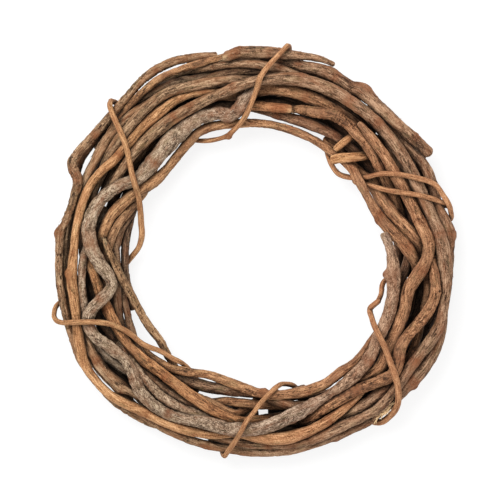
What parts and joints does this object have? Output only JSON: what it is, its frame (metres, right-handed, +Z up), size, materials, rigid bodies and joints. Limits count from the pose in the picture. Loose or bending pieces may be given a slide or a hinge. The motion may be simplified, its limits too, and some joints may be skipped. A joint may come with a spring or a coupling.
{
  "type": "willow wreath",
  "caption": "Bare willow wreath: bark-covered vines wound into a thick open ring and held together by thin tie vines, lying flat.",
  "frame": {"origin": "below the middle of the ring's bounding box, on the surface that the wreath lies on", "axes": "+Z up through the hole, out of the side that the picture shows; +Y towards the picture's top; +X towards its right"},
  "size_m": [0.4048, 0.4144, 0.0663],
  "materials": {
    "bark_grey": "rough, scaly grey-brown bark with paler flakes",
    "bark_brown": "fibrous brown bark with long grain",
    "bark_russet": "fibrous orange-brown bark with fine cross cracks",
    "bark_tan": "smoother bright tan bark with long grain",
    "bark_dark": "dull dark brown bark",
    "tie_bark": "smooth orange-brown bark of a thin runner"
  },
  "bodies": {
    "root": {"branch_bottom_stub": "bark_brown", "branch_left_frayed": "bark_russet", "branch_lower_left": "bark_brown", "branch_lower_right": "bark_brown", "branch_top_frayed": "bark_russet", "branch_top_short": "bark_brown", "stub_thick": "bark_tan", "stub_thin": "bark_tan", "tie_bottom": "tie_bark", "tie_lower_left": "tie_bark", "tie_lower_right": "tie_bark", "tie_top": "tie_bark", "tie_upper_left": "tie_bark", "tie_upper_right": "tie_bark", "tie_upper_right_second": "tie_bark", "under_inner_left": "bark_brown", "under_inner_right": "bark_dark", "under_inner_top": "bark_dark", "under_outer_left": "bark_brown", "under_outer_right": "bark_dark", "under_outer_top": "bark_dark", "under_rest_left": "bark_dark", "under_rest_right": "bark_brown", "under_rest_top": "bark_brown", "vine_bottom_dark_a": "bark_dark", "vine_bottom_dark_b": "bark_dark", "vine_bottom_edge": "bark_brown", "vine_bottom_inner": "bark_russet", "vine_bottom_red": "bark_russet", "vine_bottom_red_thin": "bark_russet", "vine_brown_long": "bark_brown", "vine_grey_long": "bark_grey", "vine_inner_long": "bark_russet", "vine_left_a": "bark_dark", "vine_left_b": "bark_russet", "vine_left_c": "bark_brown", "vine_left_dark_a": "bark_dark", "vine_left_dark_b": "bark_dark", "vine_left_edge": "bark_brown", "vine_left_grey_low": "bark_grey", "vine_left_inner_a": "bark_russet", "vine_left_inner_b": "bark_dark", "vine_low_left_a": "bark_russet", "vine_low_left_b": "bark_grey", "vine_low_left_c": "bark_dark", "vine_low_left_d": "bark_grey", "vine_ribbed": "bark_russet", "vine_right_dark": "bark_dark", "vine_right_edge": "bark_brown", "vine_russet_lower": "bark_russet", "vine_russet_upper": "bark_russet", "vine_tan_long": "bark_tan", "vine_top_a": "bark_brown", "vine_top_b": "bark_dark", "vine_top_c": "bark_brown", "vine_top_dark": "bark_dark", "vine_top_edge": "bark_brown", "vine_top_inner": "bark_dark", "vine_top_low": "bark_russet", "vine_wavy": "bark_russet"}
  },
  "joints": []
}
